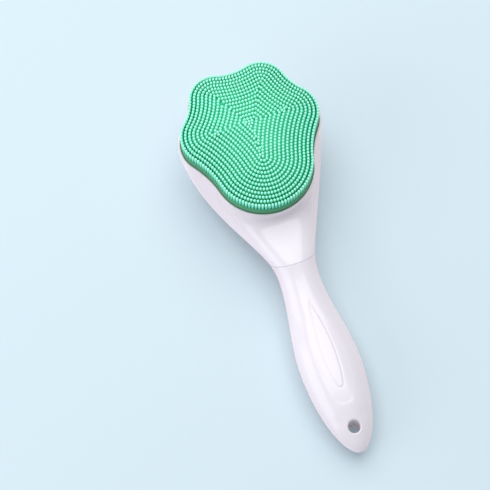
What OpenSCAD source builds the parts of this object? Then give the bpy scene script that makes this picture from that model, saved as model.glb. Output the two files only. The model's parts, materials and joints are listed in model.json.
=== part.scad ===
// Manual facial cleansing brush: a silicone nub pad in a paw outline, seated in the mouth of a two-part
// white head, which plugs into a two-part handle with a hanging hole. It lies on its back, pad up.
// +Y runs from the handle to the toes, +Z is the way the pad faces, and X is the mirror axis.

/* [Overall] */
// Length from the toe end of the rim to the end of the handle
overall_len = 166; // [150:1:185]
// Height of the rim above the surface that the brush lies on
rim_z = 28.5; // [26:0.5:31]

/* [Paw outline] */
// Radius of the heel lobe
heel_r = 20.8; // [18:0.2:23]
// Distance of the heel lobe's centre behind the pad's centre
heel_y = 18.4; // [16:0.2:21]
// Radius of each side toe
side_toe_r = 12.8; // [11:0.2:14]
// Distance of each side toe's centre from the middle plane
side_toe_x = 16.9; // [15:0.1:20]
// Distance of each side toe's centre behind the pad's centre
side_toe_y = 1.4; // [0:0.1:3]
// Radius of each front toe
front_toe_r = 11; // [9:0.2:12]
// Distance of each front toe's centre from the middle plane
front_toe_x = 10; // [9:0.1:12]
// Distance of each front toe's centre ahead of the pad's centre
front_toe_y = 14; // [12:0.2:17]
// Radius of the hollow between heel and side toe
heel_web_r = 40; // [30:1:60]
// Radius of the hollow between side toe and front toe
side_web_r = 22; // [16:1:30]
// Radius of the hollow between the front toes
front_web_r = 22; // [16:1:30]

/* [Silicone pad] */
// Height of the silicone wall above the rim
skirt_rise = 3.2; // [2:0.1:5]
// Thickness of the silicone wall
skirt_wall = 2.4; // [1.5:0.1:3.5]
// Thickness of the silicone face at its edge
face_t = 0.8; // [0.6:0.1:2]
// Step in from the wall to the face
face_step = 0.3; // [0:0.1:1]
// Rise of the face from its edge to its middle
dome_h = 4; // [2:0.2:6]

/* [Nubs] */
// Height of a nub above the face
nub_h = 3.8; // [2:0.1:5]
// Width of a nub across its corners at the root
nub_d = 1.5; // [1:0.1:1.9]
// Width of a nub across its corners at the tip
nub_tip_d = 0.9; // [0.5:0.1:1.4]
// Depth of a nub's root in the face
nub_root = 0.5; // [0.3:0.1:0.7]
// Inset of the outer row from the outline
first_row = 1.6; // [1.2:0.1:2.5]
// Distance between rows
row_pitch = 2.8; // [2.6:0.1:4]
// Distance between nubs along a row
nub_pitch = 2.6; // [2.4:0.1:4]

/* [Pad carrier] */
// Thickness of the carrier's top plate
carrier_t = 2.2; // [1.6:0.1:3]
// Thickness of the carrier's edge wall
carrier_wall = 2; // [1.5:0.1:3]
// Gap between the carrier and the silicone wall
carrier_clear = 0.1; // [0.05:0.05:0.3]
// Diameter of a carrier peg
peg_d = 4.4; // [3:0.1:6]
// Diameter of the boss that a peg stands on
peg_boss_d = 8; // [7:0.2:10]
// Reach of a peg below the seat
peg_len = 5; // [3:0.5:8]
// Distance of the two front pegs from the middle plane
peg_x = 13; // [9:0.5:17]
// Distance of the two front pegs ahead of the pad's centre
peg_front_y = 5; // [0:0.5:10]
// Distance of the back peg behind the pad's centre
peg_back_y = 20; // [14:0.5:26]
// Radial gap between a peg and its hole
peg_clear = 0.1; // [0.05:0.01:0.2]

/* [Head] */
// Width of the white lip round the pad
rim_w = 1.1; // [0.8:0.1:2.5]
// Depth of the seat that the pad drops into
seat_depth = 3; // [2:0.1:5]
// Gap round the pad in its seat
seat_clear = 0.3; // [0.2:0.05:0.6]
// Gap under the pad in its seat
seat_gap = 0.1; // [0.05:0.05:0.3]
// Thickness of the seat's floor
tray_t = 2; // [1.5:0.1:3]
// Thickness of the head's wall
head_wall = 2.2; // [1.6:0.1:3]
// Height of the straight band below the seat's floor, before the wall leans
band_land = 1; // [0.5:0.1:2]
// Depth that the wall under the heel aims for before it turns to the neck
heel_drop = 4; // [3:0.5:9]
// Depth that the wall under the toes aims for before it turns to the neck
toe_drop = 46.4; // [40:0.1:48]
// Distance that the neck runs into the head along its top
heel_reach = 9; // [5:0.5:14]
// Distance that the neck runs into the head along its bottom
toe_reach = 14; // [8:0.5:24]
// Lean of the side walls towards the neck
side_lean = 8; // [0:0.5:16]
// Lean of the toe wall towards the neck
toe_lean = 10; // [0:0.5:20]
// Draw-in of each side wall
side_draw = 3; // [0:0.2:6]

/* [Neck joint] */
// Distance of the joint line behind the pad's centre
neck_dist = 56; // [53:0.5:60]
// Height of the neck's middle at the joint line
neck_z = 15; // [13.5:0.5:16]
// Width of the neck at the joint line
neck_w = 19.3; // [17:0.1:21]
// Thickness of the neck at the joint line
neck_t = 16; // [14.6:0.2:18]
// Slope of the neck's top into the head, in degrees
heel_slope = 12; // [4:1:18]
// Slope of the neck's middle line at the joint line, in degrees
neck_slope = 17; // [14:1:20]
// Tilt of the joint face, top towards the handle, in degrees
seam_tilt = 36; // [20:1:38]
// Gap at the joint line
seam_gap = 0.25; // [0.1:0.05:0.5]
// Slope of the tenon, in degrees
tenon_slope = 8; // [4:1:10]
// Width of the tenon
tenon_w = 9.6; // [8:0.2:11]
// Thickness of the tenon
tenon_t = 6.4; // [5:0.2:7]
// Length of the tenon inside the handle
tenon_in_handle = 18; // [12:0.5:22]
// Length of the tenon inside the head
tenon_in_head = 11; // [8:0.5:12]
// Gap round the tenon
tenon_clear = 0.1; // [0.05:0.01:0.2]
// Solid length between the end of the tenon and the hollow
socket_end_t = 3; // [2:0.5:5]

/* [Handle] */
// Distance from the joint line to the narrowest place
waist_dist = 8; // [5:0.5:12]
// Width of the handle at its narrowest
waist_w = 16.6; // [15:0.1:17.8]
// Thickness of the handle at its narrowest
waist_t = 15.6; // [13:0.2:16]
// Distance from the joint line to the widest place
grip_dist = 45.5; // [38:0.5:52]
// Width of the handle at its widest
grip_w = 25.6; // [22:0.2:30]
// Thickness of the handle at its widest
grip_t = 19; // [16:0.2:22]
// Power that rounds the tip, less for a blunter one
tip_round = 0.55; // [0.45:0.01:0.65]
// Fall of the handle's middle line from the widest place to the tip
tip_drop = 2; // [0:0.2:4]
// Thickness of the handle's wall
handle_wall = 2.4; // [1.8:0.1:3.5]

/* [Hanging hole] */
// Diameter of the hanging hole
hole_d = 4.8; // [3:0.1:7]
// Distance of the hole's middle from the end of the handle
hole_from_end = 9.6; // [8:0.2:16]
// Solid length between the hollow and the hole
hole_land = 4; // [3:0.5:8]

/* [Hidden] */

mint = "#63d8a8";
white = "#f1edf6";
inner_white = "#d9d6de";

outline_points = 80;
face_points = 40;
head_points = 48;
head_steps = 12;
handle_points = 32;
handle_steps = 24;
round_fn = 64;
cut_margin = 1;
tip_left = 0.12;

pad_y = overall_len / 2 - front_toe_y - front_toe_r - rim_w;
seam_y = pad_y - neck_dist;
end_y = -overall_len / 2;
handle_len = seam_y - end_y;
seat_z = rim_z - seat_depth;
band_z = seat_z - band_land;
pad_z = seat_z + seat_gap;
skirt_z = rim_z + skirt_rise;
grip_z = grip_t / 2;
hole_y = end_y + hole_from_end;
seam_flare = (neck_w - waist_w) / waist_dist;
ease_len = 2 * (neck_z - grip_z) / tan(neck_slope);
hollow_from = tenon_in_handle + socket_end_t;
hollow_to = handle_len - hole_from_end - hole_d / 2 - hole_land;
pegs = [[-peg_x, peg_front_y], [peg_x, peg_front_y], [0, -peg_back_y]];

lobes = [
    [0, -heel_y, heel_r],
    [side_toe_x, -side_toe_y, side_toe_r],
    [front_toe_x, front_toe_y, front_toe_r],
    [-front_toe_x, front_toe_y, front_toe_r],
    [-side_toe_x, -side_toe_y, side_toe_r]
];
webs = [heel_web_r, side_web_r, front_web_r, side_web_r, heel_web_r];
lobe_count = len(lobes);

function next(i) = (i + 1) % lobe_count;
function before(i) = (i + lobe_count - 1) % lobe_count;
function flat(p) = [p.x, p.y];
function total(list) = [for (v = list) 1] * list;
function heading(v) = atan2(v.y, v.x);
function full_turn(a) = a < 0 ? a + 360 : a;
function half_turn(a) = a > 180 ? a - 360 : a < -180 ? a + 360 : a;
function smooth(u) = u * u * (3 - 2 * u);

// Where two circles cross, on the right (side 1) or left (side -1) of the way from a to b
function crossing(a, ra, b, rb, side) =
    let (
        gap = norm(b - a),
        way = (b - a) / gap,
        run = (ra * ra - rb * rb + gap * gap) / (2 * gap),
        off = sqrt(max(0, ra * ra - run * run))
    )
    a + run * way + side * off * [way.y, -way.x];

// Centre of the hollow between lobe i and the next, touching both
web_centres = [
    for (i = [0:lobe_count - 1])
    crossing(flat(lobes[i]), lobes[i].z + webs[i], flat(lobes[next(i)]), lobes[next(i)].z + webs[i], 1)
];

// Where the hollows on both sides of lobe i turn into it, at inset d
function corner(i, d) =
    lobes[i].z > d
    ? flat(lobes[i])
    : crossing(web_centres[before(i)], webs[before(i)] + d, web_centres[i], webs[i] + d, -1);

// An arc is its centre, radius, start angle and sweep
function lobe_arc(i, d) =
    let (
        c = flat(lobes[i]),
        from = heading(web_centres[before(i)] - c),
        to = heading(web_centres[i] - c)
    )
    [c, lobes[i].z - d, from, full_turn(half_turn(to - from))];

function web_arc(i, d) =
    let (
        c = web_centres[i],
        from = heading(corner(i, d) - c),
        to = heading(corner(next(i), d) - c)
    )
    [c, webs[i] + d, from, half_turn(to - from)];

function paw_arcs(d) = [
    for (i = [0:lobe_count - 1])
    each concat(lobes[i].z > d ? [lobe_arc(i, d)] : [], [web_arc(i, d)])
];
function row_holds(d) = max([for (i = [0:lobe_count - 1]) web_arc(i, d)[3]]) < 0;
function arc_len(a) = a[1] * abs(a[3]) * PI / 180;
function arc_point(a, share) = a[0] + a[1] * [cos(a[2] + share * a[3]), sin(a[2] + share * a[3])];
function along(arcs, s, i = 0) =
    s <= arc_len(arcs[i]) || i == len(arcs) - 1
    ? arc_point(arcs[i], min(1, s / arc_len(arcs[i])))
    : along(arcs, s - arc_len(arcs[i]), i + 1);
function paw_len(d) = total([for (a = paw_arcs(d)) arc_len(a)]);

// Evenly spaced points on the paw outline at inset d, from the middle of the heel round by +X
function paw_loop(d, count) =
    let (
        arcs = paw_arcs(d),
        way = paw_len(d),
        start = heel_r > d ? arc_len(arcs[0]) / 2 : 0
    )
    [for (k = [0:count - 1]) along(arcs, (start + way * k / count) % way)];

// The rows of nubs lie on steps of the face, which rises from the outer row to the inmost one
row_limit = floor(heel_web_r / row_pitch);
rows = [for (k = [0:row_limit]) let (d = first_row + k * row_pitch) if (row_holds(d)) d];
last_row = rows[len(rows) - 1];
function rise(d) = dome_h * (1 - pow((last_row - d) / (last_row - first_row), 2));
nub_places = [
    for (d = rows)
    for (p = paw_loop(d, round(paw_len(d) / nub_pitch)))
    [p.x, p.y, face_t + rise(d)]
];
field_h = face_t + dome_h + nub_h;

// A closed solid over rings of points, each ring anticlockwise seen from the last ring's side
module skin(rings) {
    count = len(rings[0]);
    last = len(rings) - 1;
    sides = [
        for (i = [0:last - 1], k = [0:count - 1])
        let (
            a = i * count + k,
            b = i * count + (k + 1) % count
        )
        each [[a, a + count, b + count], [a, b + count, b]]
    ];
    caps = [[for (k = [0:count - 1]) k], [for (k = [count - 1:-1:0]) last * count + k]];
    polyhedron(points = [for (r = rings) each r], faces = concat(sides, caps));
}

module paw_prism(d, from, to) {
    translate([0, pad_y, from])
    linear_extrude(to - from)
    polygon(paw_loop(d, outline_points));
}

module above(z) {
    translate([-overall_len, -overall_len, z])
    cube(2 * overall_len);
}

module below(z) {
    translate([-overall_len, -overall_len, z - 2 * overall_len])
    cube(2 * overall_len);
}

// The neck's ring in the joint face, moved along Y to one side of the joint line
function seam_ring(shift, count) = [
    for (k = [0:count - 1])
    let (
        turn = 360 * k / count,
        up = neck_t / 2 * cos(turn)
    )
    [neck_w / 2 * sin(turn), seam_y + shift - up * sin(seam_tilt), neck_z + up * cos(seam_tilt)]
];

// Each line of the head drops straight from the rim to the band's end, leans and turns into the neck
head_rim = paw_loop(-rim_w, head_points);
head_neck = seam_ring(seam_gap / 2, head_points);
function head_point(k, t) =
    let (
        turn = 360 * k / head_points,
        toe = (1 - cos(turn)) / 2,
        side = sin(turn),
        rim = [head_rim[k].x, head_rim[k].y + pad_y, band_z],
        lean = side_lean * side * side + toe_lean * toe,
        drop = heel_drop + (toe_drop - heel_drop) * toe,
        reach = heel_reach + (toe_reach - heel_reach) * toe,
        slope = heel_slope + (neck_slope - heel_slope) * toe,
        down = rim + [-side_draw * side, -lean, -drop],
        back = head_neck[k] + reach * [seam_flare * side, cos(slope), sin(slope)],
        u = 1 - t
    )
    u * u * u * rim + 3 * u * u * t * down + 3 * u * t * t * back + t * t * t * head_neck[k];
head_rings = concat(
    [for (i = [head_steps:-1:0]) [for (k = [0:head_points - 1]) head_point(k, i / head_steps)]],
    [[for (p = head_rim) [p.x, p.y + pad_y, rim_z]]]
);

// The hollow is the same shape drawn in by the wall, short of the tenon
function drawn_in(ring, wall) =
    let (middle = total(ring) / len(ring))
    [for (p = ring) p + wall * (middle - p) / norm(middle - p)];
hollow_rings = [
    for (ring = head_rings)
    if (total(ring).y / len(ring) > seam_y + tenon_in_head + socket_end_t)
    drawn_in(ring, head_wall)
];

module head_hollow() {
    intersection() {
        skin(hollow_rings);
        below(seat_z - tray_t);
    }
}

module peg_holes() {
    for (p = pegs)
        translate([p.x, p.y + pad_y, seat_z - tray_t - cut_margin])
        cylinder(h = tray_t + 2 * cut_margin, d = peg_d + 2 * peg_clear, $fn = round_fn);
}

module tenon_bar(gap, end_gap) {
    straight = tenon_w - tenon_t;
    translate([0, seam_y, neck_z])
    rotate([90 + tenon_slope, 0, 0])
    translate([0, 0, -tenon_in_head - end_gap])
    linear_extrude(tenon_in_head + tenon_in_handle + 2 * end_gap) {
        square([straight, tenon_t + 2 * gap], center = true);
        for (x = [-straight / 2, straight / 2])
            translate([x, 0])
            circle(d = tenon_t + 2 * gap, $fn = round_fn);
    }
}

module head_body() {
    difference() {
        skin(head_rings);
        head_hollow();
        paw_prism(-seat_clear, seat_z, rim_z + cut_margin);
        peg_holes();
        tenon_bar(tenon_clear, tenon_clear);
    }
}

// Sizes of the handle s behind the joint line: it narrows to the waist, swells to the grip and rounds off
function tip_share(s) = max(0, s - grip_dist) / (handle_len - grip_dist);
function swell(s, at_neck, at_waist, at_grip) =
    s < waist_dist
    ? at_waist + (at_neck - at_waist) * pow(1 - s / waist_dist, 2)
    : s < grip_dist
    ? at_waist + (at_grip - at_waist) * smooth((s - waist_dist) / (grip_dist - waist_dist))
    : at_grip * pow(1 - pow(tip_share(s), 2), tip_round);
function ease(s) = 1 - min(1, s / ease_len);
function spine_z(s) = grip_z + (neck_z - grip_z) * pow(ease(s), 2) - tip_drop * pow(tip_share(s), 2);

function handle_ring(s, wall, from, to, count) =
    let (
        half_w = swell(s, neck_w, waist_w, grip_w) / 2 - wall,
        half_t = swell(s, neck_t, waist_t, grip_t) / 2 - wall,
        tilt = seam_tilt * ease(s)
    )
    [
        for (k = [0:count])
        let (
            turn = from + (to - from) * k / count,
            up = half_t * cos(turn)
        )
        [half_w * sin(turn), seam_y - seam_gap / 2 - s - up * sin(tilt), spine_z(s) + up * cos(tilt)]
    ];

skin_len = handle_len - seam_gap / 2 - tip_left;
handle_stations = [for (i = [handle_steps:-1:0]) skin_len * sin(90 * i / handle_steps)];

module handle_hollow() {
    stations = [for (s = handle_stations) if (s > hollow_from && s < hollow_to) s];
    turn_step = 360 / handle_points;
    skin([for (s = stations) handle_ring(s, handle_wall, 0, 360 - turn_step, handle_points - 1)]);
}

module handle_half(from, to) {
    difference() {
        skin([for (s = handle_stations) handle_ring(s, 0, from, to, handle_points / 2)]);
        handle_hollow();
        tenon_bar(tenon_clear, tenon_clear);
        translate([0, hole_y, -cut_margin])
            cylinder(h = rim_z, d = hole_d, $fn = round_fn);
    }
}

module nub(p) {
    translate([p.x, p.y, p.z - nub_root])
    cylinder(h = nub_h + nub_root, d1 = nub_d, d2 = nub_tip_d, $fn = 4);
}

module face_step_at(d) {
    from = d == first_row ? 0 : face_t / 2;
    translate([0, 0, from])
    linear_extrude(face_t + rise(d) - from)
    polygon(paw_loop(max(face_step, d - row_pitch / 2), face_points));
}

module cleansing_nubs() {
    color(mint)
    translate([0, pad_y, skirt_z])
    resize([0, 0, field_h]) {
        for (d = rows)
            face_step_at(d);
        for (p = nub_places)
            nub(p);
    }
}

module pad_skirt() {
    color(mint)
    difference() {
        paw_prism(0, pad_z, skirt_z);
        paw_prism(skirt_wall, pad_z - cut_margin, skirt_z + cut_margin);
    }
}

module pad_carrier() {
    edge = skirt_wall + carrier_clear;
    color(inner_white) {
        difference() {
            paw_prism(edge, pad_z, skirt_z);
            paw_prism(edge + carrier_wall, pad_z - cut_margin, skirt_z - carrier_t);
        }
        for (p = pegs)
            translate([p.x, p.y + pad_y, 0]) {
                translate([0, 0, pad_z])
                    cylinder(h = skirt_z - carrier_t / 2 - pad_z, d = peg_boss_d, $fn = round_fn);
                translate([0, 0, seat_z - peg_len])
                    cylinder(h = skirt_z - carrier_t / 2 - seat_z + peg_len, d = peg_d, $fn = round_fn);
            }
    }
}

module head_front_shell() {
    color(white)
    intersection() {
        head_body();
        above(neck_z);
    }
}

module head_back_shell() {
    color(white)
    intersection() {
        head_body();
        below(neck_z);
    }
}

module neck_tenon() {
    color(inner_white)
    tenon_bar(0, 0);
}

module handle_front_shell() {
    color(white)
    handle_half(-90, 90);
}

module handle_back_shell() {
    color(white)
    handle_half(90, 270);
}

cleansing_nubs();
pad_skirt();
pad_carrier();
head_front_shell();
head_back_shell();
neck_tenon();
handle_front_shell();
handle_back_shell();
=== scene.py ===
import json
import math
import bpy
from mathutils import Matrix, Vector

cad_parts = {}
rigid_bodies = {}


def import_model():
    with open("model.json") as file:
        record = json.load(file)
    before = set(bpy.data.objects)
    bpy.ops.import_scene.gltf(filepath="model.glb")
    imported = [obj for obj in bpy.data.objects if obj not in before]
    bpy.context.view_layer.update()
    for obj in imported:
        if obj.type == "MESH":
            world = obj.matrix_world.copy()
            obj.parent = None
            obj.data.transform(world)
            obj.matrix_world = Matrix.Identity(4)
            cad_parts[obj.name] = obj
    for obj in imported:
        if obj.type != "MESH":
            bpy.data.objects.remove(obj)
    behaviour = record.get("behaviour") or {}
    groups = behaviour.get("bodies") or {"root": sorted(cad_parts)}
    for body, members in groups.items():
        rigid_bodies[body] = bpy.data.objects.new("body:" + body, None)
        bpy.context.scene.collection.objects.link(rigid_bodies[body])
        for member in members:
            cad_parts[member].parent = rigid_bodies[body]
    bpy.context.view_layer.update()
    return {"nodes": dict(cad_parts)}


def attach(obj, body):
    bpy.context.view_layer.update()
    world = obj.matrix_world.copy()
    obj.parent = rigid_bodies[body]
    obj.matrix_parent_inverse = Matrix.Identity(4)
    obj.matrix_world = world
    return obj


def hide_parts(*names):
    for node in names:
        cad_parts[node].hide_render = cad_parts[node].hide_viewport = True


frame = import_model()
mm = 0.001


def clearSelection():
    for ob in bpy.context.view_layer.objects:
        ob.select_set(False)


def activate(ob):
    clearSelection()
    ob.select_set(True)
    bpy.context.view_layer.objects.active = ob


def toEdit(kind="VERT"):
    bpy.ops.object.mode_set(mode="EDIT")
    bpy.ops.mesh.select_mode(type=kind)


def toObject():
    bpy.ops.object.mode_set(mode="OBJECT")


def pickVerts(ob, test):
    # selects the vertices that pass the test, in millimetres
    toEdit("VERT")
    bpy.ops.mesh.select_all(action="DESELECT")
    toObject()
    for v in ob.data.vertices:
        v.select = test(v.co / mm)
    toEdit("VERT")


def pickFaces(ob, test):
    # selects the faces that pass the test
    toEdit("FACE")
    bpy.ops.mesh.select_all(action="DESELECT")
    toObject()
    for poly in ob.data.polygons:
        poly.select = test(poly)
    toEdit("FACE")


def applyModifier(ob, kind, **settings):
    mod = ob.modifiers.new(kind.title(), kind)
    for key, value in settings.items():
        setattr(mod, key, value)
    bpy.ops.object.modifier_apply(modifier=mod.name)


def smoothStep(u):
    u = min(1.0, max(0.0, u))
    return u * u * (3 - 2 * u)


# the paw outline is five round lobes joined by five hollows, each lobe as x, y and radius
paw = dict(centreY=56.9, rimZ=28.5,
           lobes=((0.0, -18.4, 20.8), (16.9, -1.4, 12.8), (10.0, 14.0, 11.0),
                  (-10.0, 14.0, 11.0), (-16.9, -1.4, 12.8)),
           hollows=(40.0, 22.0, 22.0, 22.0, 40.0))


def circlesMeet(a, ra, b, rb, side):
    gap = (b - a).length
    way = (b - a) / gap
    run = (ra * ra - rb * rb + gap * gap) / (2 * gap)
    off = math.sqrt(max(0.0, ra * ra - run * run))
    return a + way * run + Vector((way.y, -way.x)) * (side * off)


lobeAt = [Vector(l[:2]) for l in paw["lobes"]]
lobeR = [l[2] for l in paw["lobes"]]
hollowR = paw["hollows"]
lobeCount = len(lobeAt)


def hollowBetween(i, j):
    return circlesMeet(lobeAt[i], lobeR[i] + hollowR[i], lobeAt[j], lobeR[j] + hollowR[i], 1)


hollowAt = [hollowBetween(i, (i + 1) % lobeCount) for i in range(lobeCount)]


def heading(v):
    return math.atan2(v.y, v.x)


def pawCorner(i, inset):
    if lobeR[i] > inset:
        return lobeAt[i]
    return circlesMeet(hollowAt[i - 1], hollowR[i - 1] + inset, hollowAt[i], hollowR[i] + inset, -1)


def pawArcs(inset):
    # (centre, radius, start, sweep) of each arc of the outline moved in by the inset
    arcs = []
    for i in range(lobeCount):
        if lobeR[i] > inset:
            start = heading(hollowAt[i - 1] - lobeAt[i])
            sweep = (heading(hollowAt[i] - lobeAt[i]) - start) % math.tau
            arcs.append((lobeAt[i], lobeR[i] - inset, start, sweep))
        start = heading(pawCorner(i, inset) - hollowAt[i])
        end = heading(pawCorner((i + 1) % lobeCount, inset) - hollowAt[i])
        sweep = (end - start + math.pi) % math.tau - math.pi
        arcs.append((hollowAt[i], hollowR[i] + inset, start, sweep))
    return arcs


def pawLength(inset):
    return sum(a[1] * abs(a[3]) for a in pawArcs(inset))


def pawLoop(inset, count):
    # evenly spaced points from the middle of the heel round by +X, about the pad's centre
    arcs = pawArcs(inset)
    lengths = [a[1] * abs(a[3]) for a in arcs]
    total = sum(lengths)
    first = lengths[0] / 2 if lobeR[0] > inset else 0.0
    points = []
    for k in range(count):
        s = (first + total * k / count) % total
        for (c, r, start, sweep), length in zip(arcs, lengths):
            if s <= length:
                break
            s -= length
        a = start + sweep * min(1.0, s / length)
        points.append(Vector((c.x + r * math.cos(a), c.y + r * math.sin(a))))
    return points


def pawRing(inset, z, count):
    return [Vector((p.x, p.y + paw["centreY"], z)) for p in pawLoop(inset, count)]


def loftLoops(name, loops):
    # a circle is extruded loop by loop, and each loop is set to its place
    clearSelection()
    count = len(loops[0])
    bpy.ops.mesh.primitive_circle_add(vertices=count, radius=mm)
    piece = bpy.context.object
    piece.name = name
    piece.data.name = name
    for i, loop in enumerate(loops):
        if i:
            toEdit("EDGE")
            bpy.ops.mesh.extrude_edges_move()
            toObject()
        for k in range(count):
            # each point moves out by what subdivision draws in
            p = loop[k] + (loop[k] * 2 - loop[k - 1] - loop[(k + 1) % count]) / 6
            piece.data.vertices[i * count + k].co = p * mm
    return piece


def finishLoft(piece, levels):
    activate(piece)
    toEdit("VERT")
    bpy.ops.mesh.select_all(action="SELECT")
    bpy.ops.mesh.remove_doubles(threshold=0.000001)
    bpy.ops.mesh.normals_make_consistent(inside=False)
    toObject()
    applyModifier(piece, "SUBSURF", levels=levels, render_levels=levels)
    bpy.ops.object.shade_smooth()


def hexColor(text):
    # sRGB hex to linear
    values = [int(text[i:i + 2], 16) / 255 for i in (1, 3, 5)]
    return tuple(v / 12.92 if v <= 0.04045 else ((v + 0.055) / 1.055) ** 2.4 for v in values) + (1.0,)


def addNode(tree, kind, place, inputs=None, **settings):
    node = tree.nodes.new(kind)
    node.location = place
    for key, value in settings.items():
        setattr(node, key, value)
    for key, value in (inputs or {}).items():
        if isinstance(value, bpy.types.NodeSocket):
            tree.links.new(value, node.inputs[key])
        else:
            node.inputs[key].default_value = value
    return node


def startMaterial(name):
    mat = bpy.data.materials.new(name)
    mat.use_nodes = True
    mat.node_tree.nodes.clear()
    return mat, mat.node_tree


def setMaterial(ob, mat):
    ob.data.materials.clear()
    ob.data.materials.append(mat)
    for poly in ob.data.polygons:
        poly.material_index = 0


# the tip colour is paler than the root colour: a painted highlight and glow on the nub tips
nubLook = dict(name="nubSilicone", root="#00d0a4", tip="#a6ffe2", roughness=0.36, grainMm=0.25)
# the skirt wall takes a darker, duller green than the nubs: painted shade on the wall
shadedWallLook = dict(name="wallSiliconeShaded", root="#519870", tip="#9affdc", roughness=0.44, grainMm=0.25)


def mouldedSilicone(look):
    # liquid silicone rubber, moulded: soft satin skin; the tip colour is paler than the root colour, a
    # painted highlight and glow on the thin tips
    mat, tree = startMaterial(look["name"])
    coords = addNode(tree, "ShaderNodeTexCoord", (-1000, 0))
    tip = addNode(tree, "ShaderNodeAttribute", (-1000, 300), attribute_name="tip")
    cloud = addNode(tree, "ShaderNodeTexNoise", (-800, 0),
                    {"Vector": coords.outputs["Object"], "Scale": 1 / (9 * mm), "Detail": 3.0})
    shade = addNode(tree, "ShaderNodeMath", (-600, 200),
                    {0: cloud.outputs["Fac"], 1: 0.16, 2: tip.outputs["Fac"]}, operation="MULTIPLY_ADD")
    lower = addNode(tree, "ShaderNodeMath", (-450, 200), {0: shade.outputs[0], 1: 0.08},
                    operation="SUBTRACT", use_clamp=True)
    # root and tip colours mix by the tip attribute, so the paler tip colour is painted highlight and glow
    tint = addNode(tree, "ShaderNodeMix", (-280, 200), {"Factor": lower.outputs[0]}, data_type="RGBA")
    tint.inputs["A"].default_value = hexColor(look["root"])
    tint.inputs["B"].default_value = hexColor(look["tip"])
    sheen = addNode(tree, "ShaderNodeMapRange", (-280, 50),
                    {"Value": tip.outputs["Fac"], "To Min": 0.08, "To Max": 0.35})
    grain = addNode(tree, "ShaderNodeTexNoise", (-800, -300),
                    {"Vector": coords.outputs["Object"], "Scale": 1 / (look["grainMm"] * mm), "Detail": 2.0})
    bump = addNode(tree, "ShaderNodeBump", (-280, -300),
                   {"Height": grain.outputs["Fac"], "Strength": 0.12, "Distance": 0.05 * mm})
    rough = addNode(tree, "ShaderNodeMapRange", (-280, -100),
                    {"Value": cloud.outputs["Fac"],
                     "To Min": look["roughness"] - 0.06, "To Max": look["roughness"] + 0.08})
    skin = addNode(tree, "ShaderNodeBsdfPrincipled", (0, 0),
                   {"Base Color": tint.outputs["Result"], "Roughness": rough.outputs["Result"],
                    "Normal": bump.outputs["Normal"], "IOR": 1.41,
                    "Specular IOR Level": sheen.outputs["Result"], "Subsurface Weight": 0.15,
                    "Subsurface Radius": (0.25, 1.0, 0.7), "Subsurface Scale": 0.8 * mm})
    addNode(tree, "ShaderNodeOutputMaterial", (300, 0), {"Surface": skin.outputs["BSDF"]})
    return mat


whiteLook = dict(pale="#e4dfe5", cool="#ddd7df", roughness=0.2)


def polishedAbs():
    # ABS from a polished mould: hard gloss, a faint lavender white, slight waviness and handling haze
    mat, tree = startMaterial("polishedAbs")
    coords = addNode(tree, "ShaderNodeTexCoord", (-1000, 0))
    cloud = addNode(tree, "ShaderNodeTexNoise", (-800, 100),
                    {"Vector": coords.outputs["Object"], "Scale": 1 / (28 * mm), "Detail": 4.0})
    tint = addNode(tree, "ShaderNodeMix", (-300, 200), {"Factor": cloud.outputs["Fac"]}, data_type="RGBA")
    tint.inputs["A"].default_value = hexColor(whiteLook["pale"])
    tint.inputs["B"].default_value = hexColor(whiteLook["cool"])
    haze = addNode(tree, "ShaderNodeTexNoise", (-800, -150),
                   {"Vector": coords.outputs["Object"], "Scale": 1 / (6 * mm), "Detail": 3.0})
    rough = addNode(tree, "ShaderNodeMapRange", (-300, -50),
                    {"Value": haze.outputs["Fac"], "From Min": 0.3, "From Max": 0.7,
                     "To Min": whiteLook["roughness"] - 0.03, "To Max": whiteLook["roughness"] + 0.04})
    wave = addNode(tree, "ShaderNodeTexNoise", (-800, -400),
                   {"Vector": coords.outputs["Object"], "Scale": 1 / (14 * mm), "Detail": 1.0})
    bump = addNode(tree, "ShaderNodeBump", (-300, -350),
                   {"Height": wave.outputs["Fac"], "Strength": 0.06, "Distance": 1.0 * mm})
    shell = addNode(tree, "ShaderNodeBsdfPrincipled", (0, 0),
                    {"Base Color": tint.outputs["Result"], "Roughness": rough.outputs["Result"],
                     "Normal": bump.outputs["Normal"], "IOR": 1.54,
                     "Coat Weight": 0.2, "Coat Roughness": 0.1})
    addNode(tree, "ShaderNodeOutputMaterial", (300, 0), {"Surface": shell.outputs["BSDF"]})
    return mat


innerLook = dict(pale="#dcdae1", dull="#cbc8d2")


def mattePolypropylene():
    # natural polypropylene with a fine spark texture: a dull, slightly grey white
    mat, tree = startMaterial("mattePolypropylene")
    coords = addNode(tree, "ShaderNodeTexCoord", (-900, 0))
    spark = addNode(tree, "ShaderNodeTexNoise", (-700, 0),
                    {"Vector": coords.outputs["Object"], "Scale": 1 / (0.5 * mm), "Detail": 3.0})
    tint = addNode(tree, "ShaderNodeMix", (-300, 200), {"Factor": spark.outputs["Fac"]}, data_type="RGBA")
    tint.inputs["A"].default_value = hexColor(innerLook["pale"])
    tint.inputs["B"].default_value = hexColor(innerLook["dull"])
    rough = addNode(tree, "ShaderNodeMapRange", (-300, -50),
                    {"Value": spark.outputs["Fac"], "To Min": 0.45, "To Max": 0.62})
    bump = addNode(tree, "ShaderNodeBump", (-300, -300),
                   {"Height": spark.outputs["Fac"], "Strength": 0.25, "Distance": 0.05 * mm})
    core = addNode(tree, "ShaderNodeBsdfPrincipled", (0, 0),
                   {"Base Color": tint.outputs["Result"], "Roughness": rough.outputs["Result"],
                    "Normal": bump.outputs["Normal"], "IOR": 1.49})
    addNode(tree, "ShaderNodeOutputMaterial", (300, 0), {"Surface": core.outputs["BSDF"]})
    return mat


nubSilicone = mouldedSilicone(nubLook)
wallSiliconeShaded = mouldedSilicone(shadedWallLook)
whiteAbs = polishedAbs()
innerPlastic = mattePolypropylene()
print("materials ready")


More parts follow.
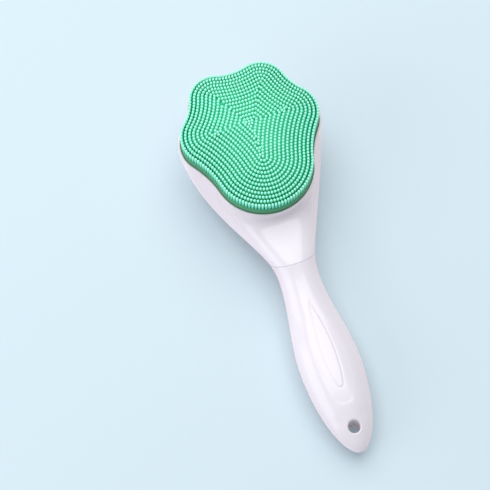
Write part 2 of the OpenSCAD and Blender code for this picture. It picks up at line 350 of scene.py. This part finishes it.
# the handle's two shells, in millimetres and degrees
handle = dict(seamY=0.9, length=83.9, seamGap=0.05, neckZ=15.0, neckW=19.3, neckT=16.0,
              waistDist=8.0, waistW=16.6, waistT=15.6, gripDist=45.5, gripW=25.6, gripT=19.0,
              tipRound=0.55, tipDrop=2.0, tipFlat=0.1, neckSlope=17.0, seamTilt=36.0,
              tenonW=9.6, tenonT=6.4, tenonSlope=8.0, socketDeep=18.2, socketGap=0.1, socketRound=0.5,
              socketEdge=((0.0, 0.6), (0.05, 0.15), (0.3, 0.0)), neckFace=(0.9, 0.985), sides=24,
              stations=(0.12, 0.6, 2.5, 5.5, 9.0, 13.0, 18.0, 24.0, 30.0, 36.0, 42.0, 48.0, 54.0, 60.0,
                        65.0, 68.0, 70.3, 72.3, 74.3, 76.3, 78.3, 80.3, 82.0, 83.1, 83.6),
              holeY=-73.4, holeFrom=70.3, holeMiddle=74.3, holeEdge=3.7, holeTurn=22.5,
              holeSteps=((3.05, 0.0), (2.68, 0.2), (2.44, 0.75)), holeR=2.4, holeLip=2.6, partingDip=0.05)
gripZ = handle["gripT"] / 2
easeLen = 2 * (handle["neckZ"] - gripZ) / math.tan(math.radians(handle["neckSlope"]))


def tipShare(s):
    return max(0.0, s - handle["gripDist"]) / (handle["length"] - handle["gripDist"])


def swell(s, neck, waist, full):
    if s < handle["waistDist"]:
        return waist + (neck - waist) * (1 - s / handle["waistDist"]) ** 2
    if s < handle["gripDist"]:
        share = (s - handle["waistDist"]) / (handle["gripDist"] - handle["waistDist"])
        return waist + (full - waist) * smoothStep(share)
    return full * max(0.0, 1 - tipShare(s) ** 2) ** handle["tipRound"]


def easeAt(s):
    return 1 - min(1.0, s / easeLen)


def spineZ(s):
    return gripZ + (handle["neckZ"] - gripZ) * easeAt(s) ** 2 - handle["tipDrop"] * tipShare(s) ** 2


def handleRing(s, scale=1.0, y=None):
    halfW = scale * swell(s, handle["neckW"], handle["waistW"], handle["gripW"]) / 2
    halfT = scale * swell(s, handle["neckT"], handle["waistT"], handle["gripT"]) / 2
    tilt = math.radians(handle["seamTilt"]) * easeAt(s)
    y = handle["seamY"] - s if y is None else y
    ring = []
    for k in range(handle["sides"]):
        turn = math.tau * k / handle["sides"]
        up = halfT * math.cos(turn)
        across = halfW * math.sin(turn)
        ring.append(Vector((across, y - up * math.sin(tilt), spineZ(s) + up * math.cos(tilt))))
    return ring


def socketRing(grow, deep, onFace):
    # the tenon's rounded section, at a depth along the tenon or where it meets the joint face
    slope = math.radians(handle["tenonSlope"])
    lean = math.tan(math.radians(handle["seamTilt"] - handle["tenonSlope"]))
    up = Vector((0, -math.sin(slope), math.cos(slope)))
    way = Vector((0, -math.cos(slope), -math.sin(slope)))
    middle = Vector((0, handle["seamY"] - handle["seamGap"] / 2, handle["neckZ"]))
    half = (handle["tenonW"] - handle["tenonT"]) / 2
    r = handle["tenonT"] / 2 + grow
    ring = []
    for k in range(handle["sides"]):
        turn = math.tau * k / handle["sides"]
        dx, dz = math.sin(turn), math.cos(turn)
        if abs(dz) > 0.001 and r / abs(dz) * abs(dx) <= half:
            reach = r / abs(dz)
        else:
            reach = half * abs(dx) + math.sqrt(max(0.0, r * r - (half * dz) ** 2))
        x, z = reach * dx, reach * dz
        ring.append(middle + Vector((x, 0, 0)) + up * z + way * (deep + (z * lean if onFace else 0.0)))
    return ring


def handleTopZ(x, y, side):
    s = handle["seamY"] - y
    halfW = swell(s, handle["neckW"], handle["waistW"], handle["gripW"]) / 2
    halfT = swell(s, handle["neckT"], handle["waistT"], handle["gripT"]) / 2
    return spineZ(s) + side * halfT * math.sqrt(max(0.0, 1 - (x / halfW) ** 2))


def buildHandle():
    sides = handle["sides"]
    faceY = handle["seamY"] - handle["seamGap"] / 2
    socketEnd = socketRing(0.0, handle["socketDeep"], False)
    # from the bottom of the tenon's socket out to the joint face, then along the outside to the tip
    loops = [[(socketEnd[0] + socketEnd[sides // 2]) / 2] * sides,
             socketRing(handle["socketGap"], handle["socketDeep"], False),
             socketRing(handle["socketGap"], handle["socketDeep"] - handle["socketRound"], False)]
    loops += [socketRing(handle["socketGap"] + grow, deep, True) for grow, deep in handle["socketEdge"]]
    loops += [handleRing(0.0, scale, faceY) for scale in handle["neckFace"]]
    firstRow = len(loops) + handle["stations"].index(handle["holeFrom"])
    loops += [handleRing(s) for s in handle["stations"]]
    tipY = handle["seamY"] - handle["length"] + handle["tipFlat"]
    tip = Vector((0, tipY, spineZ(handle["length"])))
    loops.append([tip] * sides)
    piece = loftLoops("handleFront", loops)
    # front faces take slot 0 and back faces slot 1, so that the two shells part on the side lines
    quarter = sides // 4
    for poly in piece.data.polygons:
        ks = [v % sides for v in poly.vertices]
        front = all(k <= quarter or k >= 3 * quarter for k in ks)
        poly.material_index = 0 if front else 1
    # the rim of the hanging hole: a patch of the top and of the bottom is opened and turned round
    steps = (-2, -1, 0, 1, 2)
    rows = range(firstRow, firstRow + len(steps))
    inPatch = set()
    for side, middleK in ((1, 0), (-1, sides // 2)):
        for row in rows:
            for step in steps:
                index = row * sides + (middleK + step) % sides
                inPatch.add(index)
                if row in (rows[0], rows[-1]) or step in (steps[0], steps[-1]):
                    v = piece.data.vertices[index]
                    a = math.degrees(math.atan2(v.co.y / mm - handle["holeY"], v.co.x / mm))
                    a = math.radians(round(a / handle["holeTurn"]) * handle["holeTurn"])
                    x = handle["holeEdge"] * math.cos(a)
                    y = handle["holeY"] + handle["holeEdge"] * math.sin(a)
                    v.co = Vector((x, y, handleTopZ(x, y, side))) * mm
    pickFaces(piece, lambda poly: all(v in inPatch for v in poly.vertices))
    bpy.ops.mesh.delete(type="FACE")
    middleZ = spineZ(handle["holeMiddle"])
    for side in (1, -1):
        radius = handle["holeEdge"]
        for newRadius, drop in (*handle["holeSteps"], (handle["holeR"], handle["holeLip"])):
            pickVerts(piece, lambda p: abs(math.hypot(p.x, p.y - handle["holeY"]) - radius) < 0.02
                      and (p.z - middleZ) * side > 0)
            bpy.ops.mesh.select_mode(type="EDGE")
            bpy.ops.mesh.extrude_edges_move()
            toObject()
            for v in piece.data.vertices:
                if v.select:
                    a = math.atan2(v.co.y / mm - handle["holeY"], v.co.x / mm)
                    x, y = newRadius * math.cos(a), handle["holeY"] + newRadius * math.sin(a)
                    onLip = drop == handle["holeLip"]
                    z = handleTopZ(0, handle["holeY"], side) if onLip else handleTopZ(x, y, side)
                    v.co = Vector((x, y, z - side * drop)) * mm
            radius = newRadius
    pickVerts(piece, lambda p: abs(math.hypot(p.x, p.y - handle["holeY"]) - handle["holeR"]) < 0.01)
    bpy.ops.mesh.select_mode(type="EDGE")
    bpy.ops.mesh.bridge_edge_loops(number_cuts=1)
    toObject()
    for poly in piece.data.polygons:
        c = poly.center / mm
        if math.hypot(c.x, c.y - handle["holeY"]) < handle["holeEdge"] - 0.2:
            poly.material_index = 0 if c.z > middleZ else 1
    piece.data.materials.append(whiteAbs)
    piece.data.materials.append(innerPlastic)
    finishLoft(piece, levels=3)
    raiseGrip(piece)
    # the back faces go to a new object, and the front keeps this one
    pickFaces(piece, lambda poly: poly.material_index == 1)
    bpy.ops.mesh.separate(type="SELECTED")
    toObject()
    back = next(o for o in bpy.context.selected_objects if o != piece)
    back.name = "handleBack"
    for half in (piece, back):
        closeHalf(half, handle["partingDip"])
        setMaterial(half, whiteAbs)
    return [piece, back]


grip = dict(tongueFrom=21.0, tongueTo=58.4, tongueHalf=2.9, tongueEnd=1.5, tongueRise=0.1, tongueSoft=0.35,
            lineDip=0.18, lineHalf=0.32, lineSteps=200, lineNear=14,
            wideShare=0.58, openPower=0.85, closePower=2.4,
            panelFrom=20.0, panelTo=65.0, panelHalf=6.3, panelEnd=4.2, panelDip=0.13, panelSoft=0.8,
            areaHalf=8, areaFrom=18, areaTo=68)


def tearDrop(s, start, end, half, endHalf):
    # half width of a long drop that opens slowly and ends in a round
    if s <= start or s >= end:
        return 0.0
    bend = end - endHalf
    wide = start + grip["wideShare"] * (end - start)
    if s < wide:
        return half * math.sin(math.pi / 2 * (s - start) / (wide - start)) ** grip["openPower"]
    if s < bend:
        return half - (half - endHalf) * ((s - wide) / (bend - wide)) ** grip["closePower"]
    return math.sqrt(max(0.0, endHalf ** 2 - (s - bend) ** 2))


def dropLine(start, end, half, endHalf):
    places = [start + (end - start) * i / grip["lineSteps"] for i in range(grip["lineSteps"] + 1)]
    return [(s, tearDrop(s, start, end, half, endHalf)) for s in places]


def fromLine(line, x, s):
    # distance to the line, negative inside it
    step = line[1][0] - line[0][0]
    k = round((s - line[0][0]) / step)
    onLine = max(0, min(k, grip["lineSteps"]))
    close = line[max(0, onLine - grip["lineNear"]):onLine + grip["lineNear"] + 1]
    near = min(math.hypot(s - a, abs(x) - b) for a, b in close)
    return -near if k == onLine and abs(x) < line[k][1] else near


def raiseGrip(piece):
    # the grip: a shallow drop-shaped panel with a tongue in it, outlined by a fine groove
    tongue = dropLine(grip["tongueFrom"], grip["tongueTo"], grip["tongueHalf"], grip["tongueEnd"])
    panel = dropLine(grip["panelFrom"], grip["panelTo"], grip["panelHalf"], grip["panelEnd"])
    pickVerts(piece, lambda p: abs(p.x) < grip["areaHalf"]
              and grip["areaFrom"] < handle["seamY"] - p.y < grip["areaTo"]
              and p.z > spineZ(handle["seamY"] - p.y))
    bpy.ops.mesh.subdivide(number_cuts=2)
    toObject()
    moves = []
    for v in piece.data.vertices:
        x, s = v.co.x / mm, handle["seamY"] - v.co.y / mm
        if v.select:
            edge = fromLine(tongue, x, s)
            rise = grip["tongueRise"] * 0.5 * (1 - math.tanh(edge / grip["tongueSoft"]))
            rise -= grip["lineDip"] * math.exp(-(edge / grip["lineHalf"]) ** 2)
            rise -= grip["panelDip"] * 0.5 * (1 - math.tanh(fromLine(panel, x, s) / grip["panelSoft"]))
            moves.append((v.index, v.normal * rise * mm))
    for i, move in moves:
        piece.data.vertices[i].co += move


fillScale = 1024


def closeHalf(half, dip):
    # a fine parting line: the open edge sinks by the dip, then the joint face is filled
    activate(half)
    toEdit("EDGE")
    bpy.ops.mesh.select_all(action="DESELECT")
    bpy.ops.mesh.select_non_manifold(extend=False, use_wire=False, use_boundary=True,
                                     use_multi_face=False, use_non_contiguous=False, use_verts=False)
    bpy.ops.mesh.select_mode(type="VERT")
    toObject()
    for v in half.data.vertices:
        if v.select:
            v.co -= v.normal * dip * mm
    # filled at a larger scale and scaled back, by a power of two so that no digit is lost
    half.data.transform(Matrix.Scale(fillScale, 4))
    toEdit("EDGE")
    bpy.ops.mesh.fill(use_beauty=False)
    toObject()
    half.data.transform(Matrix.Scale(1 / fillScale, 4))
    bpy.ops.object.shade_smooth_by_angle(angle=math.radians(50))


handleHalves = buildHandle()
print("handle shells done", [len(o.data.polygons) for o in handleHalves])


# the head's two shells
head = dict(rimWidth=1.1, seatGap=0.14, seatZ=25.5, bandZ=24.5, sides=96, steps=14,
            heelDrop=4.0, toeDrop=46.4, heelReach=9.0, toeReach=14.0, heelSlope=12.0,
            sideLean=8.0, toeLean=10.0, sideDraw=3.0, seatMiddle=-6.0,
            nearNeck=(0.985, 0.997), neckFace=(0.985, 0.8, 0.4),
            pegs=((-13.0, 5.0), (13.0, 5.0), (0.0, -20.0)), pegHoleR=2.3, pegHoleDeep=5.5)


def seamPoint(turn, scale, shift):
    up = scale * handle["neckT"] / 2 * math.cos(turn)
    tilt = math.radians(handle["seamTilt"])
    across = scale * handle["neckW"] / 2 * math.sin(turn)
    along = handle["seamY"] + shift - up * math.sin(tilt)
    return Vector((across, along, handle["neckZ"] + up * math.cos(tilt)))


def headRing(t):
    # each line of the head drops from the band, leans and turns into the neck
    flare = (handle["neckW"] - handle["waistW"]) / handle["waistDist"]
    rim = pawRing(-head["rimWidth"], head["bandZ"], head["sides"])
    ring = []
    for k in range(head["sides"]):
        turn = math.tau * k / head["sides"]
        toe, side = (1 - math.cos(turn)) / 2, math.sin(turn)
        lean = head["sideLean"] * side * side + head["toeLean"] * toe
        drop = head["heelDrop"] + (head["toeDrop"] - head["heelDrop"]) * toe
        reach = head["heelReach"] + (head["toeReach"] - head["heelReach"]) * toe
        slope = math.radians(head["heelSlope"] + (handle["neckSlope"] - head["heelSlope"]) * toe)
        neck = seamPoint(turn, 1.0, handle["seamGap"] / 2)
        down = rim[k] + Vector((-head["sideDraw"] * side, -lean, -drop))
        back = neck + Vector((flare * side, math.cos(slope), math.sin(slope))) * reach
        u = 1 - t
        ring.append(rim[k] * u ** 3 + down * (3 * u * u * t) + back * (3 * u * t * t) + neck * t ** 3)
    return ring


def buildHead():
    sides, rimZ, seatZ = head["sides"], paw["rimZ"], head["seatZ"]
    floorMiddle = Vector((0, paw["centreY"] + head["seatMiddle"], seatZ))
    loops = [[floorMiddle] * sides]
    gap, wide = head["seatGap"], head["rimWidth"]
    lip = ((10.0, seatZ), (1.2, seatZ), (0.0, seatZ), (0.02 - gap, seatZ + 0.05), (-gap, seatZ + 0.4),
           (-gap, rimZ - 0.4), (-gap - 0.06, rimZ - 0.1), (-gap - 0.22, rimZ), (0.26 - wide, rimZ),
           (0.06 - wide, rimZ - 0.1), (-wide, rimZ - 0.4), (-wide, rimZ - 2.0))
    loops += [pawRing(inset, z, sides) for inset, z in lip]
    loops += [headRing(i / head["steps"]) for i in range(head["steps"])]
    loops += [headRing(t) for t in head["nearNeck"]]
    turns = [math.tau * k / sides for k in range(sides)]
    loops += [[seamPoint(a, f, handle["seamGap"] / 2) for a in turns] for f in head["neckFace"]]
    loops.append([seamPoint(0, 0, handle["seamGap"] / 2)] * sides)
    piece = loftLoops("headFront", loops)
    finishLoft(piece, levels=2)
    cutPegHoles(piece)
    back = piece.copy()
    back.data = piece.data.copy()
    back.name = "headBack"
    bpy.context.collection.objects.link(back)
    for half, keepTop in ((piece, True), (back, False)):
        activate(half)
        toEdit("VERT")
        bpy.ops.mesh.select_all(action="SELECT")
        bpy.ops.mesh.bisect(plane_co=(0, 0, handle["neckZ"] * mm), plane_no=(0, 0, 1), use_fill=False,
                            clear_inner=keepTop, clear_outer=not keepTop, threshold=0.000001)
        toObject()
        closeHalf(half, 0.0)
        setMaterial(half, whiteAbs)
    return [piece, back]


def cutPegHoles(piece):
    for x, y in head["pegs"]:
        clearSelection()
        place = (x * mm, (paw["centreY"] + y) * mm, head["seatZ"] * mm)
        bpy.ops.mesh.primitive_cylinder_add(vertices=40, radius=head["pegHoleR"] * mm,
                                            depth=2 * head["pegHoleDeep"] * mm, location=place)
        drill = bpy.context.object
        activate(piece)
        applyModifier(piece, "BOOLEAN", operation="DIFFERENCE", object=drill, solver="EXACT")
        bpy.data.objects.remove(drill)


headHalves = buildHead()
print("head shells done", [len(o.data.polygons) for o in headHalves])


# the silicone pad: its skirt, its face and its nubs
pad = dict(bottomZ=25.6, wallTop=32.5, wall=2.4, points=120, domeRise=4.0,
           faceInset=0.35, faceSink=0.04, faceDeep=0.8, underShare=0.98,
           floorLift=0.7, liftFrom=0.985, liftRun=0.1, crownLift=1.1, crownPaintedSheen=0.32,
           faceShares=(1.0, 0.985, 0.962, 0.94, 0.918, 0.895, 0.86, 0.81, 0.75, 0.62,
                       0.48, 0.34, 0.2, 0.08, 0.0),
           firstRow=0.68, rowPitch=1.68, nubPitch=1.36, leastGap=1.08, nearNubs=260,
           fillGap=1.15, fillStep=0.4, fillAcross=range(-70, 71), fillAlong=range(-80, 70),
           nubR=0.62, nubTipR=0.56, nubHigh=3.8, nubRoot=0.4, nubTurn=0.7,
           tipSteps=((0.24, 0.84), (0.13, 0.66), (0.05, 0.4)), paintedTipFrom=2.1, paintedTipRun=1.0)


def buildSkirt():
    top, bottom, wall = pad["wallTop"], pad["bottomZ"], pad["wall"]
    section = ((0.0, bottom), (0.0, bottom + 0.8), (0.0, bottom + 3.4), (0.0, top - 0.6),
               (0.02, top - 0.28), (0.12, top - 0.09), (0.35, top - 0.01), (1.2, top),
               (wall - 0.1, top), (wall, top - 0.2), (wall, bottom + 3.4), (wall, bottom + 0.6),
               (wall, bottom), (0.4, bottom), (0.0, bottom))
    piece = loftLoops("padSkirt", [pawRing(inset, z, pad["points"]) for inset, z in section])
    finishLoft(piece, levels=1)
    # the wall's darker silicone is painted shade
    setMaterial(piece, wallSiliconeShaded)
    setTip(piece, lambda p: 0.0)
    return piece


def setTip(ob, value):
    # how far up a nub a point is, which mixes in the painted highlight and glow of the tip colour; the face
    # carries its painted crown sheen in it too
    if "tip" not in ob.data.attributes:
        ob.data.attributes.new("tip", "FLOAT", "POINT")
    for i, v in enumerate(ob.data.vertices):
        ob.data.attributes["tip"].data[i].value = value(v.co / mm)


# half of the face's edge, as directions and distances from the pad's centre
faceEdge = pawLoop(pad["faceInset"], 2 * pad["points"])[:pad["points"] + 1]
edgeTurn = [math.atan2(p.x, -p.y) for p in faceEdge]
edgeReach = [p.length for p in faceEdge]


def domeAt(p):
    # rise of the face at a point about the pad's centre
    turn = math.atan2(abs(p.x), -p.y)
    i = 0
    while i < pad["points"] - 1 and edgeTurn[i + 1] < turn:
        i += 1
    f = (turn - edgeTurn[i]) / max(1e-9, edgeTurn[i + 1] - edgeTurn[i])
    reach = edgeReach[i] + (edgeReach[i + 1] - edgeReach[i]) * min(1.0, max(0.0, f))
    return pad["domeRise"] * (1 - min(1.0, p.length / reach) ** 2)


def nubPlaces():
    places = []
    inset = pad["firstRow"]
    while all(a[3] < 0 for a in pawArcs(inset) if a[0] in hollowAt):
        count = round(pawLength(inset) / pad["nubPitch"])
        for p in pawLoop(inset, count):
            if all((p - q).length > pad["leastGap"] for q in places[-pad["nearNubs"]:]):
                places.append(p)
        inset += pad["rowPitch"]
    # single nubs fill the gaps left where rows meet
    inner = pawLoop(pad["firstRow"] + pad["rowPitch"], 2 * pad["points"])
    for i in pad["fillAcross"]:
        for j in pad["fillAlong"]:
            p = Vector((i * pad["fillStep"], j * pad["fillStep"]))
            if inLoop(p, inner) and all((p - q).length > pad["fillGap"] for q in places):
                places.append(p)
    return places


def inLoop(p, loop):
    inside = False
    for a, b in zip(loop, loop[1:] + loop[:1]):
        if (a.y > p.y) != (b.y > p.y) and p.x < a.x + (p.y - a.y) * (b.x - a.x) / (b.y - a.y):
            inside = not inside
    return inside


def buildNub():
    clearSelection()
    straight = pad["nubHigh"] + pad["nubRoot"] - sum(rise for rise, shrink in pad["tipSteps"])
    bpy.ops.mesh.primitive_cone_add(vertices=8, radius1=pad["nubR"] * mm, radius2=pad["nubTipR"] * mm,
                                    depth=straight * mm, location=(0, 0, straight / 2 * mm))
    nub = bpy.context.object
    bpy.ops.object.transform_apply(location=True)
    pickVerts(nub, lambda p: p.z > straight - 0.01)
    bpy.ops.mesh.select_mode(type="FACE")
    for rise, shrink in pad["tipSteps"]:
        bpy.ops.mesh.extrude_region_move(TRANSFORM_OT_translate={"value": (0, 0, rise * mm)})
        bpy.ops.transform.resize(value=(shrink, shrink, 1))
    toObject()
    bpy.ops.object.shade_smooth()
    # the top of each nub takes the paler tip colour: painted highlight and glow
    paintedTipZ = pad["nubRoot"] + pad["paintedTipFrom"]
    setTip(nub, lambda p: max(0.0, min(1.0, (p.z - paintedTipZ) / pad["paintedTipRun"])))
    return nub


def buildFace():
    sides, middleY, under = pad["points"], paw["centreY"], pad["underShare"]
    baseZ, underZ = pad["wallTop"] - pad["faceSink"], pad["wallTop"] - pad["faceDeep"]
    edge = pawLoop(pad["faceInset"], sides)
    loops = [[Vector((0, middleY, underZ))] * sides,
             [Vector((p.x * under, p.y * under + middleY, underZ)) for p in edge]]
    # the face lies higher towards the crown, so that the nubs stand out less there
    for s in pad["faceShares"]:
        rise = (pad["domeRise"] + pad["crownLift"]) * (1 - s * s)
        rise += pad["floorLift"] * smoothStep((pad["liftFrom"] - s) / pad["liftRun"])
        loops.append([Vector((p.x * s, p.y * s + middleY, baseZ + rise)) for p in edge])
    face = loftLoops("nubField", loops)
    finishLoft(face, levels=1)
    # and it is painted paler there: a painted sheen towards the crown
    paintedSheenTop = pad["crownPaintedSheen"] / pad["domeRise"]
    setTip(face, lambda p: paintedSheenTop * domeAt(Vector((p.x, p.y - middleY))))
    return face


def buildNubField():
    face = buildFace()
    nub = buildNub()
    places = nubPlaces()
    clearSelection()
    for i, p in enumerate(places):
        copy = nub.copy()
        copy.data = nub.data.copy()
        z = pad["wallTop"] - pad["faceSink"] + domeAt(p) - pad["nubRoot"]
        copy.location = (p.x * mm, (p.y + paw["centreY"]) * mm, z * mm)
        copy.rotation_euler = (0, 0, pad["nubTurn"] * i)
        bpy.context.collection.objects.link(copy)
        copy.select_set(True)
    bpy.data.objects.remove(nub)
    face.select_set(True)
    bpy.context.view_layer.objects.active = face
    bpy.ops.object.join()
    setMaterial(face, nubSilicone)
    print("nubs", len(places))
    return face


skirt = buildSkirt()
nubField = buildNubField()
print("pad done", len(nubField.data.polygons))


# each piece stands in for its CAD node and rides its body
for ob, body, node, slotName in ((handleHalves[0], "handle", "handle_front_shell", "shell_plastic"),
                                 (handleHalves[1], "handle", "handle_back_shell", "shell_plastic"),
                                 (headHalves[0], "head", "head_front_shell", "shell_plastic"),
                                 (headHalves[1], "head", "head_back_shell", "shell_plastic"),
                                 (skirt, "pad", "pad_skirt", "silicone"),
                                 (nubField, "pad", "cleansing_nubs", "silicone")):
    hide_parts(node)
    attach(ob, body)
for node in ("pad_carrier", "neck_tenon"):
    setMaterial(frame["nodes"][node], innerPlastic)


# floor, lights and camera
stage = dict(floor="#c8dae1", bounce="#ebe7e9", floorSize=3.0, floorZ=-0.0002,
             world="#eef2f8", worldStrength=0.6, lampAim=(0, 0, 0.02))
keyLamp = dict(name="keyLamp", place=(0.04, 0.4, 0.95), size=1.2, power=9.8, tint="#fffdfb")
fillLamp = dict(name="fillLamp", place=(-0.75, -0.05, 0.24), size=0.7, power=2.5, tint="#f4f6ff")


def paintedBoard():
    # matt emulsion on board, pale blue, with a faint roller texture
    mat, tree = startMaterial("paintedBoard")
    coords = addNode(tree, "ShaderNodeTexCoord", (-900, 0))
    roller = addNode(tree, "ShaderNodeTexNoise", (-700, 0),
                     {"Vector": coords.outputs["Object"], "Scale": 1 / (2.5 * mm), "Detail": 2.0})
    bump = addNode(tree, "ShaderNodeBump", (-300, -200),
                   {"Height": roller.outputs["Fac"], "Strength": 0.05, "Distance": 0.1 * mm})
    # the eye sees the blue, the brush is lit by a neutral board
    path = addNode(tree, "ShaderNodeLightPath", (-700, 300))
    tint = addNode(tree, "ShaderNodeMix", (-300, 200), {"Factor": path.outputs["Is Camera Ray"]},
                   data_type="RGBA")
    tint.inputs["A"].default_value = hexColor(stage["bounce"])
    tint.inputs["B"].default_value = hexColor(stage["floor"])
    board = addNode(tree, "ShaderNodeBsdfPrincipled", (0, 0),
                    {"Base Color": tint.outputs["Result"], "Roughness": 0.85,
                     "Normal": bump.outputs["Normal"]})
    addNode(tree, "ShaderNodeOutputMaterial", (300, 0), {"Surface": board.outputs["BSDF"]})
    return mat


clearSelection()
bpy.ops.mesh.primitive_plane_add(size=stage["floorSize"], location=(0, 0, stage["floorZ"]))
floor = bpy.context.object
floor.name = "floor"
bpy.ops.object.transform_apply(location=True)
setMaterial(floor, paintedBoard())

world = bpy.data.worlds.new("softRoom")
bpy.context.scene.world = world
world.use_nodes = True
world.node_tree.nodes["Background"].inputs["Color"].default_value = hexColor(stage["world"])
world.node_tree.nodes["Background"].inputs["Strength"].default_value = stage["worldStrength"]


def softLamp(look):
    bpy.ops.object.light_add(type="AREA", location=look["place"])
    lamp = bpy.context.object
    lamp.name = look["name"]
    lamp.data.size = look["size"]
    lamp.data.energy = look["power"]
    lamp.data.color = hexColor(look["tint"])[:3]
    way = Vector(stage["lampAim"]) - Vector(look["place"])
    lamp.rotation_euler = way.to_track_quat("-Z", "Y").to_euler()


softLamp(keyLamp)
softLamp(fillLamp)

shot = dict(tilt=19.2, side=6.0, roll=19.8, away=625.0, right=1.6, up=48.7,
            focalPx=1500.0, framePx=490.0, sensor=36.0)
tilt, side, roll = (math.radians(shot[k]) for k in ("tilt", "side", "roll"))
back = Vector((-math.sin(side) * math.cos(tilt), -math.sin(tilt), math.cos(side) * math.cos(tilt)))
up = (Vector((0, 1, 0)) - back * back.y).normalized()
right = up.cross(back)
camRight = right * math.cos(roll) - up * math.sin(roll)
camUp = right * math.sin(roll) + up * math.cos(roll)
padMiddle = Vector((0, paw["centreY"], paw["rimZ"]))
eye = padMiddle + back * shot["away"] - camRight * shot["right"] - camUp * shot["up"]
bpy.ops.object.camera_add()
camera = bpy.context.object
camera.matrix_world = Matrix(((camRight.x, camUp.x, back.x, eye.x * mm),
                              (camRight.y, camUp.y, back.y, eye.y * mm),
                              (camRight.z, camUp.z, back.z, eye.z * mm), (0, 0, 0, 1)))
camera.data.sensor_width = shot["sensor"]
camera.data.lens = shot["sensor"] * shot["focalPx"] / shot["framePx"]
bpy.context.scene.camera = camera
bpy.context.scene.view_settings.view_transform = "Standard"

print("scene ready")
